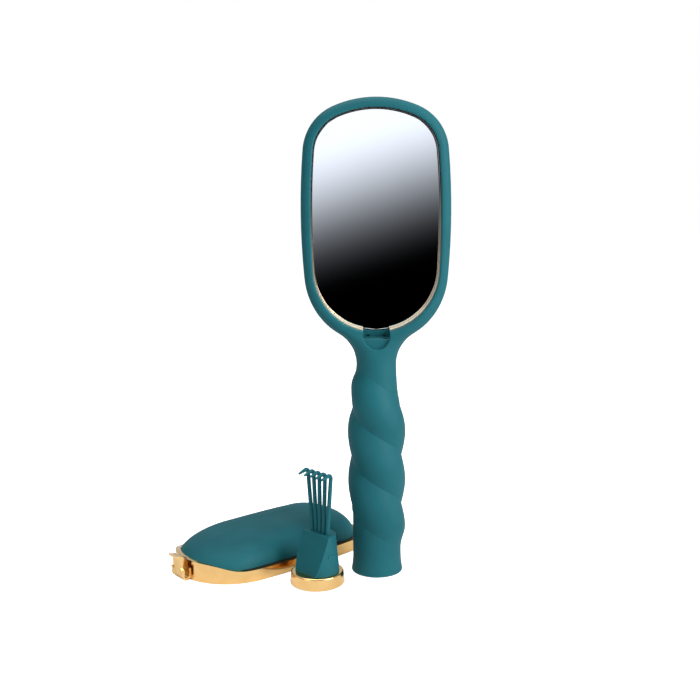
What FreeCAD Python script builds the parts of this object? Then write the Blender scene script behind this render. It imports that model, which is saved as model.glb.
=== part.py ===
import FreeCAD, Part
import math
import os

Vector = FreeCAD.Vector
X_AXIS = Vector(1, 0, 0)
Y_AXIS = Vector(0, 1, 0)
Z_AXIS = Vector(0, 0, 1)

# Millimetres. The brush stands on the open end of its handle: origin at the centre of that end,
# +Z up the handle, the mirror facing -Y and the bristles facing +Y.

# Handle
HANDLE_LENGTH = 108.4
HANDLE_RADIUS = 12.35
HANDLE_END_FLARE = 0.9
HANDLE_END_RADIUS = HANDLE_RADIUS + HANDLE_END_FLARE
HANDLE_END_ROUND = 0.5
HANDLE_FLARE_HEIGHT = 9.0
NECK_DRAW = 2.35
NECK_RADIUS = HANDLE_RADIUS - NECK_DRAW
NECK_TAPER_LENGTH = 35.0

# Twist: two strands that wind round the handle and fade into it at both ends
TWIST_LEAD = 51.0
TWIST_DROP = 47.6
STRAND_OFFSET = 1.9
STRAND_SINK = 0.15
STRAND_SWELL = 0.45
STRAND_STEP = 3.0
MAIN_STRAND_LOW = 10.0
MAIN_FADE_LOW = 14.0
MAIN_FADE_HIGH = 11.0
SHORT_STRAND_LOW = 28.0
SHORT_STRAND_DROP = 13.4
SHORT_FADE_LOW = 9.0
SHORT_FADE_HIGH = 15.0

# Head outline: tangent arcs, widest above the middle
HEAD_LENGTH = 130.6
HEAD_HALF_WIDTH = 36.83
HEAD_WIDEST_RISE = 28.6
HEAD_TOP_RADIUS = 52.5
HEAD_CORNER_RADIUS = 24.5
HEAD_SIDE_RADIUS = 360.0
HEAD_TAPER = 1.27
NECK_FILLET_RADIUS = 18.6
FRAME_FRONT = 6.0
BODY_BACK = 10.0
FRAME_EDGE_RADIUS = 4.0
FRONT_RISE_START = 39.0
FRONT_RISE_END = 17.0
NECK_CORNER_SHARE = 0.97
NECK_SECTION_SHARES = (0.0, 0.07, 0.14, 0.21, 0.28, 0.35, 0.42, 0.50, 0.59, 0.69, 0.80, 0.90, 1.0)
FLANK_SECTIONS = 8

# Mirror recess in the front of the head
FRAME_BORDER = 5.0
OPENING_TAPER = 0.7
OPENING_LOW_RISE = 2.0
OPENING_ROUND = 0.8
EDGE_TEST_SHARES = (0.0, 0.25, 0.5, 0.75, 1.0)
LINER_WALL = 0.4
LINER_SETBACK = 0.7
MIRROR_FACE = 0.25
MIRROR_THICKNESS = 2.0
MIRROR_PAD_THICKNESS = 0.5
GLASS_GAP = 0.15
PAD_BORDER = 4.0

# Bristle pad in the back of the head
WEB_THICKNESS = 1.8
POCKET_BORDER = 0.9
CUSHION_GAP = 0.2
CUSHION_EDGE = 0.4
CUSHION_RISE = 4.2
BRISTLE_ROWS = 13
BRISTLE_PITCH = 7.6
BRISTLE_MARGIN = 6.2
TUFT_ROOT_RADIUS = 1.4
TUFT_TIP_RADIUS = 2.0
TUFT_ROOT_DEPTH = 0.6
TUFT_SIDES = 6
BRISTLE_TIP = 30.0

# Cover that clips into the recess over the mirror
COVER_GAP = 0.9
TRAY_WALL = 1.4
TRAY_LEDGE = 7.4
LEDGE_THICKNESS = 1.2
DOME_SETBACK = 3.6
DOME_LOW_REACH = 3.3
DOME_RISE = 12.3
DOME_WALL = 1.8
DOME_CROWN_SHIFT = 22.0
DOME_POWER = 4.0
DOME_ANGLES = (0, 12, 24, 36, 48, 60, 70, 79, 86, 89)
CUSHION_ANGLES = (0, 12, 24, 36, 48, 60, 70, 79, 86)

# Spring latch on the end of the cover
LATCH_WIDTH = 10.6
LATCH_STEM_WIDTH = 7.7
LATCH_SHOULDER = 6.0
LATCH_INSET = 1.1
LATCH_HEIGHT = 12.6
LATCH_THICKNESS = 1.3
LATCH_BEND_RADIUS = 2.6
LATCH_WEB_DEPTH = 0.25
THUMB_LEDGE_REACH = 2.3
THUMB_LEDGE_THICKNESS = 1.2
THUMB_LEDGE_LIFT = 0.7
CATCH_SPREAD = 4.2
CATCH_WIDTH = 1.7
CATCH_LOW = 4.3
CATCH_HIGH = 5.9
CATCH_PROUD = 0.7

# Latch slot, thumb scoop and catch holes at the top of the neck
SLOT_SIDE_GAP = 1.35
SLOT_END_GAP = 0.4
SLOT_FLOOR_GAP = 0.3
SCOOP_DEPTH = 1.8
SCOOP_HEIGHT = 5.2
SCOOP_INSET = 0.15
CATCH_GAP = 0.4

# Cleaning tool that plugs into the handle
SOCKET_WALL = 1.15
SOCKET_RADIUS = HANDLE_RADIUS - SOCKET_WALL
SOCKET_DEPTH = 22.0
TINE_BORE_STEP = 0.6
TINE_BORE_RADIUS = SOCKET_RADIUS - TINE_BORE_STEP
TINE_BORE_END_GAP = 2.0
CAP_HEIGHT = 6.3
CAP_TOP_INSET = 0.1
CAP_TOP_RADIUS = HANDLE_END_RADIUS - CAP_TOP_INSET
CAP_FLARE = 0.7
CAP_BOTTOM_RADIUS = HANDLE_END_RADIUS + CAP_FLARE
CAP_EDGE_ROUND = 0.8
PLUG_GAP = 0.1
PLUG_HEIGHT = 19.0
PLUG_DRAFT = 1.8
PLUG_TOP_RADIUS = SOCKET_RADIUS - PLUG_DRAFT
PLUG_TOP_ROUND = 0.8
PLUG_SPIGOT_RADIUS = 7.0
PLUG_SPIGOT_DEPTH = 3.0
FACET_INSET = 2.8
FACET_LOW = SOCKET_RADIUS - FACET_INSET
FACET_HIGH = 0.8
SNAP_HEIGHT = 9.0
SNAP_WIDTH = 4.0
SNAP_THICKNESS = 0.9
SNAP_PROUD = 0.5
TINE_COUNT = 5
TINE_LENGTH = 32.0
TINE_ROW_BACK = 2.2
TINE_ROOT_PITCH = 2.65
TINE_TOP_PITCH = 4.1
TINE_ROOT_RADIUS = 0.9
TINE_TOP_RADIUS = 0.75
TINE_POINT_RADIUS = 0.3
TINE_BEND_RADIUS = 1.5
TINE_HOOK_LENGTH = 4.4
TINE_HOOK_TILT = 15

# Where the two loose pieces stand on the table, beside and behind the brush
COVER_X = -58.3
COVER_Y = 24.8
COVER_YAW = -49.9
TOOL_X = -30.5
TOOL_Y = -16.7
TOOL_YAW = -45.0

# Overrun of cutting shapes
OVERRUN = 5.0


class Outline:
    """A closed outline of tangent arcs in an XZ plane, mirrored about X = 0."""

    def __init__(self, half_width, widest_z, top_z, top_radius, corner_radius, side_radius, low_z, taper):
        self.half_width = half_width
        self.widest_z = widest_z
        self.top_z = top_z
        self.top_radius = top_radius
        self.corner_radius = corner_radius
        self.side_radius = side_radius
        self.low_z = low_z
        self.taper = taper
        self.low_radius = half_width - taper
        self.top_centre = (0, top_z - top_radius)
        self.side_centre = (half_width - side_radius, widest_z)
        self.low_centre = (0, low_z)
        drop = widest_z - low_z
        self.flank_radius = (half_width**2 - self.low_radius**2 + drop**2) / (2 * taper)
        self.flank_centre = (half_width - self.flank_radius, widest_z)
        self.corner_centre = self.find_corner_centre()
        self.shoulder = along(self.top_centre, self.corner_centre, top_radius)
        self.side_top = along(self.side_centre, self.corner_centre, side_radius)
        self.side_low = along(self.flank_centre, self.low_centre, self.flank_radius)
        self.bottom_z = low_z - self.low_radius

    def find_corner_centre(self):
        near = self.top_radius - self.corner_radius
        far = self.side_radius - self.corner_radius
        span_x = self.side_centre[0] - self.top_centre[0]
        span_z = self.side_centre[1] - self.top_centre[1]
        span = math.hypot(span_x, span_z)
        run = (near**2 - far**2 + span**2) / (2 * span)
        rise = math.sqrt(near**2 - run**2)
        unit_x, unit_z = span_x / span, span_z / span
        base_x = self.top_centre[0] + unit_x * run
        base_z = self.top_centre[1] + unit_z * run
        return (base_x + unit_z * rise, base_z - unit_x * rise)

    def inset(self, distance):
        return Outline(self.half_width - distance, self.widest_z, self.top_z - distance,
                       self.top_radius - distance, self.corner_radius - distance,
                       self.side_radius - distance, self.low_z, self.taper)

    def scaled(self, share, about_z):
        return Outline(self.half_width * share, about_z + (self.widest_z - about_z) * share,
                       about_z + (self.top_z - about_z) * share, self.top_radius * share,
                       self.corner_radius * share, self.side_radius * share,
                       about_z + (self.low_z - about_z) * share, self.taper * share)

    def lengthened(self, reach):
        return Outline(self.half_width, self.widest_z, self.top_z, self.top_radius, self.corner_radius,
                       self.side_radius, self.low_z - reach, self.taper)

    def middle_z(self):
        return (self.top_z + self.bottom_z) / 2

    def arc_at(self, x, z):
        """Centre and radius of the arc that the right half of the outline follows near a point."""
        if z >= self.shoulder[1] and abs(x) <= self.shoulder[0]:
            return self.top_centre, self.top_radius
        if z >= self.side_top[1]:
            return self.corner_centre, self.corner_radius
        if z >= self.widest_z:
            return self.side_centre, self.side_radius
        if z >= self.side_low[1]:
            return self.flank_centre, self.flank_radius
        return self.low_centre, self.low_radius

    def half_at(self, z):
        centre, radius = self.arc_at(self.shoulder[0], z)
        return centre[0] + math.sqrt(max(0, radius**2 - (z - centre[1])**2))

    def distance(self, x, z):
        """How far a point lies outside the outline, measured square to it."""
        centre, radius = self.arc_at(x, z)
        return math.hypot(abs(x) - centre[0], z - centre[1]) - radius

    def right_edges(self, y, low_end):
        top = (0, self.top_z)
        widest = (self.half_width, self.widest_z)
        runs = [(self.top_centre, self.top_radius, top, self.shoulder),
                (self.corner_centre, self.corner_radius, self.shoulder, self.side_top),
                (self.side_centre, self.side_radius, self.side_top, widest)]
        if low_end:
            runs.append((self.flank_centre, self.flank_radius, widest, self.side_low))
            runs.append((self.low_centre, self.low_radius, self.side_low, (0, self.bottom_z)))
        return [arc_between(run, y) for run in runs]

    def wire(self, y):
        right = self.right_edges(y, True)
        return Part.Wire(right + mirrored(right))

    def upper_wire(self, y):
        right = self.right_edges(y, False)
        low_right = Vector(self.half_width, y, self.widest_z)
        low_left = Vector(-self.half_width, y, self.widest_z)
        seam = Part.LineSegment(low_right, low_left).toShape()
        return Part.Wire(right + [seam] + mirrored(right))

    def slab(self, y_from, y_to):
        return Part.Face(self.wire(y_from)).extrude(Y_AXIS * (y_to - y_from))


def along(centre, target, distance):
    span = math.hypot(target[0] - centre[0], target[1] - centre[1])
    return (centre[0] + (target[0] - centre[0]) * distance / span,
            centre[1] + (target[1] - centre[1]) * distance / span)


def arc_between(run, y):
    centre, radius, start, end = run
    middle = along(centre, ((start[0] + end[0]) / 2, (start[1] + end[1]) / 2), radius)
    points = [Vector(p[0], y, p[1]) for p in (start, middle, end)]
    return Part.Arc(*points).toShape()


def mirrored(edges):
    flipped = []
    for edge in reversed(edges):
        middle = edge.valueAt((edge.FirstParameter + edge.LastParameter) / 2)
        ends = [edge.Vertexes[-1].Point, middle, edge.Vertexes[0].Point]
        flipped.append(Part.Arc(*[Vector(-p.x, p.y, p.z) for p in ends]).toShape())
    return flipped


def box(x_from, x_to, y_from, y_to, z_from, z_to):
    return Part.makeBox(x_to - x_from, y_to - y_from, z_to - z_from, Vector(x_from, y_from, z_from))


def smooth_share(share):
    share = min(1, max(0, share))
    return share * share * (3 - 2 * share)


# Levels that several pieces share
neck_z = HANDLE_LENGTH
taper_z = neck_z - NECK_TAPER_LENGTH
low_reach = HEAD_HALF_WIDTH - HEAD_TAPER + NECK_FILLET_RADIUS
head_low_z = neck_z + math.sqrt(low_reach**2 - (NECK_RADIUS + NECK_FILLET_RADIUS)**2)
head_top_z = neck_z + HEAD_LENGTH
mirror_back = MIRROR_FACE + MIRROR_THICKNESS
recess_floor = mirror_back + MIRROR_PAD_THICKNESS
pocket_floor = recess_floor + WEB_THICKNESS
rise_start_z = neck_z + FRONT_RISE_START
rise_end_z = neck_z + FRONT_RISE_END

head = Outline(HEAD_HALF_WIDTH, head_low_z + HEAD_WIDEST_RISE, head_top_z, HEAD_TOP_RADIUS,
               HEAD_CORNER_RADIUS, HEAD_SIDE_RADIUS, head_low_z, HEAD_TAPER)
opening = Outline(head.half_width - FRAME_BORDER, head.widest_z, head.top_z - FRAME_BORDER,
                  HEAD_TOP_RADIUS - FRAME_BORDER, HEAD_CORNER_RADIUS - FRAME_BORDER,
                  HEAD_SIDE_RADIUS - FRAME_BORDER, head_low_z + OPENING_LOW_RISE, OPENING_TAPER)
rim = opening.inset(LINER_WALL + COVER_GAP)
pocket = opening.inset(POCKET_BORDER)
latch_z = rim.bottom_z + LATCH_INSET
slot_end_z = latch_z - 2 * LATCH_BEND_RADIUS - SLOT_END_GAP
slot_half = LATCH_WIDTH / 2 + SLOT_SIDE_GAP


def front_at(z):
    """How far the frame's front face lies ahead of the axis: it rises to meet the neck."""
    share = (rise_start_z - z) / (rise_start_z - rise_end_z)
    return FRAME_FRONT + (NECK_RADIUS - FRAME_FRONT) * smooth_share(share)


def back_at(z):
    """How far the body's back lies behind the axis: it meets the round neck as the front does."""
    share = (rise_start_z - z) / (rise_start_z - rise_end_z)
    return BODY_BACK + (NECK_RADIUS - BODY_BACK) * smooth_share(share)


def front_edge(extra):
    """The front face in side view, from below the neck's top to above the head, moved by extra."""
    middle_z = (rise_start_z + rise_end_z) / 2
    far, near = extra - FRAME_FRONT, extra - NECK_RADIUS
    poles = [Vector(0, far, rise_start_z), Vector(0, far, middle_z),
             Vector(0, near, middle_z), Vector(0, near, rise_end_z)]
    curve = Part.BezierCurve()
    curve.setPoles(poles)
    top = Vector(0, far, head_top_z + OVERRUN)
    low = Vector(0, near, neck_z)
    straight_top = Part.LineSegment(top, poles[0]).toShape()
    straight_low = Part.LineSegment(poles[-1], low).toShape()
    return [straight_top, curve.toShape(), straight_low], top, low


def behind_front(y_to, extra):
    """Everything from the front face, moved back by extra, to the plane y_to."""
    edges, top, low = front_edge(extra)
    top_back = Vector(0, y_to, top.z)
    low_back = Vector(0, y_to, low.z)
    edges.append(Part.LineSegment(low, low_back).toShape())
    edges.append(Part.LineSegment(low_back, top_back).toShape())
    edges.append(Part.LineSegment(top_back, top).toShape())
    face = Part.Face(Part.Wire(edges))
    face.translate(X_AXIS * -(head.half_width + OVERRUN))
    return face.extrude(X_AXIS * 2 * (head.half_width + OVERRUN))


def rounded_section(z, half_width, front, back, radius):
    """A rectangle with round corners at height z, from y = -front to y = back."""
    left, right = -half_width, half_width
    low, high = -front, back
    bulge = radius * math.sqrt(0.5)
    corners = [(right - radius, low + radius, 1, -1), (right - radius, high - radius, 1, 1),
               (left + radius, high - radius, -1, 1), (left + radius, low + radius, -1, -1)]
    arcs = []
    for index, (x, y, side_x, side_y) in enumerate(corners):
        flat = Vector(x, y + side_y * radius, z)
        upright = Vector(x + side_x * radius, y, z)
        middle = Vector(x + side_x * bulge, y + side_y * bulge, z)
        ends = (flat, upright) if index % 2 == 0 else (upright, flat)
        arcs.append(Part.Arc(ends[0], middle, ends[1]))
    edges = []
    for index, arc in enumerate(arcs):
        following = arcs[(index + 1) % len(arcs)]
        edges.append(arc.toShape())
        edges.append(Part.LineSegment(arc.EndPoint, following.StartPoint).toShape())
    return Part.Wire(edges)


def neck_half_at(z):
    """Half the width of the lower head and neck at height z, seen from the front."""
    meet_z = neck_z + (head_low_z - neck_z) * NECK_FILLET_RADIUS / low_reach
    if z >= meet_z:
        return head.half_at(z)
    return NECK_RADIUS + NECK_FILLET_RADIUS - math.sqrt(NECK_FILLET_RADIUS**2 - (z - neck_z)**2)


def make_neck():
    """The neck and lower head, up to the widest level: round at the handle, slab-like above."""
    flank_z = head.side_low[1]
    round_radius = NECK_RADIUS * NECK_CORNER_SHARE
    sections = []
    for share in NECK_SECTION_SHARES:
        z = neck_z + (flank_z - neck_z) * share
        radius = round_radius + (FRAME_EDGE_RADIUS - round_radius) * smooth_share(share)
        sections.append(rounded_section(z, neck_half_at(z), front_at(z), back_at(z), radius))
    for index in range(FLANK_SECTIONS):
        z = flank_z + (head.widest_z - flank_z) * (index + 1) / FLANK_SECTIONS
        sections.append(rounded_section(z, neck_half_at(z), FRAME_FRONT, BODY_BACK, FRAME_EDGE_RADIUS))
    return Part.makeLoft(sections, True, False)


def make_head_slab():
    slab = Part.Face(head.upper_wire(-FRAME_FRONT)).extrude(Y_AXIS * (FRAME_FRONT + BODY_BACK))
    seam_z = head.widest_z
    rim_edges = []
    for edge in slab.Edges:
        flat = abs(edge.BoundBox.YLength) < GLASS_GAP
        if flat and edge.BoundBox.ZMax > seam_z + GLASS_GAP:
            rim_edges.append(edge)
    return slab.makeFillet(FRAME_EDGE_RADIUS, rim_edges)


def tangent_radius(length, step):
    """Radius of an arc that leaves a straight line and moves off it by step over a length."""
    return (length**2 + step**2) / (2 * step)


def handle_radius_at(z):
    """Radius of the plain handle: flared at its end, straight, then drawn in to the neck by two arcs."""
    half_taper = NECK_TAPER_LENGTH / 2
    bend = tangent_radius(half_taper, (HANDLE_RADIUS - NECK_RADIUS) / 2)
    flare = tangent_radius(HANDLE_FLARE_HEIGHT, HANDLE_END_RADIUS - HANDLE_RADIUS)
    if z < HANDLE_FLARE_HEIGHT:
        return HANDLE_RADIUS + flare - math.sqrt(flare**2 - (HANDLE_FLARE_HEIGHT - z)**2)
    if z < taper_z:
        return HANDLE_RADIUS
    if z < taper_z + half_taper:
        return HANDLE_RADIUS - bend + math.sqrt(bend**2 - (z - taper_z)**2)
    return NECK_RADIUS + bend - math.sqrt(bend**2 - (neck_z - z)**2)


def profile_arc(z_from, z_to):
    points = [Vector(handle_radius_at(z), 0, z) for z in (z_from, (z_from + z_to) / 2, z_to)]
    return Part.Arc(*points).toShape()


def make_core():
    """The plain handle: a turned form that runs up into the neck."""
    foot = Vector(0, 0, 0)
    crown = Vector(0, 0, neck_z)
    round_end = Vector(handle_radius_at(HANDLE_END_ROUND), 0, HANDLE_END_ROUND)
    round_start = Vector(round_end.x - HANDLE_END_ROUND, 0, 0)
    reach = HANDLE_END_ROUND * math.sqrt(0.5)
    round_middle = Vector(round_start.x + reach, 0, HANDLE_END_ROUND - reach)
    middle_z = taper_z + NECK_TAPER_LENGTH / 2
    low = Vector(HANDLE_RADIUS, 0, HANDLE_FLARE_HEIGHT)
    high = Vector(HANDLE_RADIUS, 0, taper_z)
    shoulder = Vector(NECK_RADIUS, 0, neck_z)
    edges = [Part.LineSegment(foot, round_start).toShape(),
             Part.Arc(round_start, round_middle, round_end).toShape(),
             profile_arc(HANDLE_END_ROUND, HANDLE_FLARE_HEIGHT),
             Part.LineSegment(low, high).toShape(),
             profile_arc(taper_z, middle_z),
             profile_arc(middle_z, neck_z),
             Part.LineSegment(shoulder, crown).toShape(),
             Part.LineSegment(crown, foot).toShape()]
    return Part.Face(Part.Wire(edges)).revolve(foot, Z_AXIS, 360)


def make_strand(low_z, high_z, fade_low, fade_high, half_turns):
    """A strand of round sections whose centre winds round the axis and draws in at both ends."""
    count = round((high_z - low_z) / STRAND_STEP)
    twist_z = neck_z - TWIST_DROP
    sections = []
    for index in range(count + 1):
        z = low_z + (high_z - low_z) * index / count
        show = min(smooth_share((z - low_z) / fade_low), smooth_share((high_z - z) / fade_high))
        angle = math.pi * (1 + half_turns) + 2 * math.pi * (twist_z - z) / TWIST_LEAD
        reach = STRAND_OFFSET * show
        radius = handle_radius_at(z) - STRAND_SINK + (STRAND_SINK + STRAND_SWELL) * show
        centre = Vector(reach * math.sin(angle), -reach * math.cos(angle), z)
        sections.append(Part.Wire(Part.Circle(centre, Z_AXIS, radius).toShape()))
    return Part.makeLoft(sections, True, False)


def make_brush_body():
    """The moulded body: head frame, neck and twisted handle in one piece, with no seam."""
    recess = opening.slab(-NECK_RADIUS - OVERRUN, recess_floor)
    back_pocket = pocket.slab(pocket_floor, BODY_BACK + OVERRUN)
    head_form = make_head_slab().fuse(make_neck()).Solids[0]
    framed = roll_opening(head_form.cut(recess).Solids[0])
    framed_head = framed.cut(back_pocket).Solids[0].cut(make_latch_seat()).Solids[0]
    short_high = neck_z - SHORT_STRAND_DROP
    main_strand = make_strand(MAIN_STRAND_LOW, neck_z, MAIN_FADE_LOW, MAIN_FADE_HIGH, 0)
    short_strand = make_strand(SHORT_STRAND_LOW, short_high, SHORT_FADE_LOW, SHORT_FADE_HIGH, 1)
    strands = main_strand.fuse(short_strand)
    handle = make_core().Solids[0].fuse(strands).Solids[0].cut(make_socket()).Solids[0]
    return handle.fuse(framed_head).Solids[0]


def roll_opening(head_form):
    """Rounds the inner front edge of the frame."""
    edges = []
    for edge in head_form.Edges:
        span = edge.LastParameter - edge.FirstParameter
        points = [edge.valueAt(edge.FirstParameter + span * share) for share in EDGE_TEST_SHARES]
        on_outline = all(abs(opening.distance(p.x, p.z)) < GLASS_GAP for p in points)
        if on_outline and max(p.y for p in points) < LINER_SETBACK - FRAME_FRONT:
            edges.append(edge)
    return head_form.makeFillet(OPENING_ROUND, edges).Solids[0]


def make_socket():
    plug_bore = Part.makeCylinder(SOCKET_RADIUS, SOCKET_DEPTH)
    tine_top = PLUG_HEIGHT + TINE_LENGTH + TINE_BORE_END_GAP
    tine_bore = Part.makeCylinder(TINE_BORE_RADIUS, tine_top)
    return plug_bore.fuse(tine_bore).removeSplitter()


def make_latch_seat():
    slot = box(-slot_half, slot_half, -NECK_RADIUS - OVERRUN, SLOT_FLOOR_GAP,
               slot_end_z, opening.bottom_z + OVERRUN)
    scoop_radius = slot_half - SCOOP_INSET
    scoop_centre = Vector(0, SCOOP_DEPTH - NECK_RADIUS, slot_end_z - SCOOP_HEIGHT + scoop_radius)
    scoop = Part.makeCylinder(scoop_radius, OVERRUN + SCOOP_DEPTH, scoop_centre, -Y_AXIS)
    seat = slot.fuse(scoop)
    reach = CATCH_WIDTH / 2 + CATCH_GAP
    for side in (-1, 1):
        x = side * CATCH_SPREAD
        seat = seat.fuse(box(x - reach, x + reach, -CATCH_HIGH - CATCH_GAP, -CATCH_LOW + CATCH_GAP,
                             slot_end_z - CATCH_PROUD - CATCH_GAP, slot_end_z + CATCH_GAP))
    return seat


def make_recess_liner():
    front = LINER_SETBACK + OPENING_ROUND - FRAME_FRONT
    liner = opening.slab(front, recess_floor).cut(opening.inset(LINER_WALL).slab(front, recess_floor))
    return liner.cut(box(-slot_half, slot_half, front - OVERRUN, recess_floor + OVERRUN,
                         opening.bottom_z - OVERRUN, opening.bottom_z + OVERRUN))


def make_mirror():
    glass = opening.inset(LINER_WALL + GLASS_GAP)
    return glass.slab(MIRROR_FACE, mirror_back)


def make_mirror_pad():
    return opening.inset(LINER_WALL + PAD_BORDER).slab(mirror_back, recess_floor)


def cushion_crown(outline, base_y):
    """The rubber pad's crown: sections shrink along a quarter ellipse as they rise."""
    sections = []
    for angle in CUSHION_ANGLES:
        turn = math.radians(angle)
        section = outline.scaled(math.cos(turn), outline.middle_z())
        sections.append(section.wire(base_y + CUSHION_RISE * math.sin(turn)))
    return Part.makeLoft(sections, True, False)


def low_arch(outline, base_y, rise):
    """The cover's arch: sections shrink as they rise, towards a crown near the wide end."""
    crown_z = rim.middle_z() + DOME_CROWN_SHIFT
    sections = []
    for angle in DOME_ANGLES:
        turn = math.radians(angle)
        share = math.cos(turn) ** (2 / DOME_POWER)
        sections.append(outline.scaled(share, crown_z).wire(base_y - rise * math.sin(turn)))
    return Part.makeLoft(sections, True, False)


def make_cushion():
    outline = pocket.inset(CUSHION_GAP)
    edge_y = BODY_BACK + CUSHION_EDGE
    base = outline.slab(pocket_floor, edge_y)
    return base.fuse(cushion_crown(outline, edge_y)).removeSplitter()


def make_bristle_rows(cushion):
    low_z = pocket.bottom_z + BRISTLE_MARGIN
    step = (pocket.top_z - BRISTLE_MARGIN - low_z) / (BRISTLE_ROWS - 1)
    root_y = BODY_BACK + CUSHION_EDGE - TUFT_ROOT_DEPTH
    rows = []
    for row in range(BRISTLE_ROWS):
        z = low_z + step * row
        room = pocket.half_at(z) - BRISTLE_MARGIN
        shift = BRISTLE_PITCH / 2 * (row % 2)
        count = math.floor((room - shift) / BRISTLE_PITCH)
        places = [shift + BRISTLE_PITCH * index for index in range(count + 1)]
        places = sorted(set(places + [-x for x in places]))
        tufts = [make_tuft(x, z, root_y).cut(cushion) for x in places]
        rows.append(Part.makeCompound([tuft.Solids[0] for tuft in tufts]))
    return rows


def make_tuft(x, z, root_y):
    sections = []
    for y, radius in ((root_y, TUFT_ROOT_RADIUS), (BRISTLE_TIP, TUFT_TIP_RADIUS)):
        corners = []
        for corner in range(TUFT_SIDES + 1):
            angle = 2 * math.pi * corner / TUFT_SIDES
            corners.append(Vector(x + radius * math.cos(angle), y, z + radius * math.sin(angle)))
        sections.append(Part.makePolygon(corners))
    return Part.makeLoft(sections, True, True)


def make_tray():
    height = NECK_RADIUS + OVERRUN
    wall = rim.slab(-height, 0).cut(rim.inset(TRAY_WALL).slab(-height, 0))
    ledge = rim.slab(-height, 0).cut(rim.inset(TRAY_LEDGE).slab(-height, 0))
    behind = behind_front(OVERRUN, 0)
    ledge = ledge.common(behind).cut(behind_front(OVERRUN, LEDGE_THICKNESS))
    tray = wall.common(behind).fuse(ledge)
    return tray.fuse(latch_root()).removeSplitter()


def latch_root():
    """The fixed half of the latch's bend, grown out of the end of the tray's wall."""
    bend_z = latch_z - LATCH_BEND_RADIUS
    inner = LATCH_BEND_RADIUS - LATCH_THICKNESS
    bend = bend_ring(bend_z, inner).common(
        box(-LATCH_WIDTH, LATCH_WIDTH, -LATCH_BEND_RADIUS, OVERRUN, bend_z, latch_z + OVERRUN))
    half = LATCH_WIDTH / 2
    upright = box(-half, half, -LATCH_SHOULDER, -LATCH_BEND_RADIUS,
                  latch_z - LATCH_THICKNESS, latch_z + LATCH_WEB_DEPTH)
    foot = box(-half, half, -LATCH_BEND_RADIUS, 0, latch_z, latch_z + LATCH_WEB_DEPTH)
    return bend.fuse([upright, foot])


def bend_ring(bend_z, inner):
    centre = Vector(-LATCH_WIDTH / 2, -LATCH_BEND_RADIUS, bend_z)
    outer_cylinder = Part.makeCylinder(LATCH_BEND_RADIUS, LATCH_WIDTH, centre, X_AXIS)
    return outer_cylinder.cut(Part.makeCylinder(inner, LATCH_WIDTH, centre, X_AXIS))


def make_latch():
    bend_z = latch_z - LATCH_BEND_RADIUS
    outer_z = latch_z - 2 * LATCH_BEND_RADIUS
    inner = LATCH_BEND_RADIUS - LATCH_THICKNESS
    arm = bend_ring(bend_z, inner).common(
        box(-LATCH_WIDTH, LATCH_WIDTH, -LATCH_BEND_RADIUS, OVERRUN, outer_z - OVERRUN, bend_z))
    half, stem = LATCH_WIDTH / 2, LATCH_STEM_WIDTH / 2
    arm = arm.fuse(box(-half, half, -LATCH_SHOULDER, -LATCH_BEND_RADIUS, outer_z, outer_z + LATCH_THICKNESS))
    arm = arm.fuse(box(-stem, stem, -LATCH_HEIGHT, -LATCH_SHOULDER, outer_z, outer_z + LATCH_THICKNESS))
    arm = arm.fuse(thumb_ledge(outer_z, stem))
    for side in (-1, 1):
        arm = arm.fuse(catch_lug(side * CATCH_SPREAD, outer_z))
    return arm.removeSplitter()


def thumb_ledge(outer_z, half):
    top, under = -LATCH_HEIGHT, THUMB_LEDGE_THICKNESS - LATCH_HEIGHT
    tip_z = outer_z - THUMB_LEDGE_REACH
    points = [Vector(-half, top, outer_z), Vector(-half, top - THUMB_LEDGE_LIFT, tip_z),
              Vector(-half, under - THUMB_LEDGE_LIFT, tip_z), Vector(-half, under, outer_z)]
    return Part.Face(Part.makePolygon(points + points[:1])).extrude(X_AXIS * 2 * half)


def catch_lug(x, outer_z):
    side = x - CATCH_WIDTH / 2
    points = [Vector(side, -CATCH_LOW, outer_z), Vector(side, -CATCH_HIGH, outer_z),
              Vector(side, -CATCH_HIGH, outer_z - CATCH_PROUD)]
    return Part.Face(Part.makePolygon(points + points[:1])).extrude(X_AXIS * CATCH_WIDTH)


def make_dome():
    base = rim.inset(DOME_SETBACK).lengthened(DOME_LOW_REACH)
    foot_y = LEDGE_THICKNESS - FRAME_FRONT
    rise = DOME_RISE + LEDGE_THICKNESS
    outer = low_arch(base, foot_y, rise)
    inner = low_arch(base.inset(DOME_WALL), foot_y, rise - DOME_WALL)
    return outer.cut(inner).cut(behind_front(OVERRUN, 0))


def make_tool_cap():
    profile = Part.makeCone(CAP_BOTTOM_RADIUS, CAP_TOP_RADIUS, CAP_HEIGHT, Vector(0, 0, -CAP_HEIGHT))
    rims = [edge for edge in profile.Edges if edge.BoundBox.ZLength < GLASS_GAP]
    return profile.makeFillet(CAP_EDGE_ROUND, rims).cut(make_spigot())


def make_spigot():
    """The short round tenon that holds the plug in the cap."""
    return Part.makeCylinder(PLUG_SPIGOT_RADIUS, PLUG_SPIGOT_DEPTH, Vector(0, 0, -PLUG_SPIGOT_DEPTH))


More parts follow.
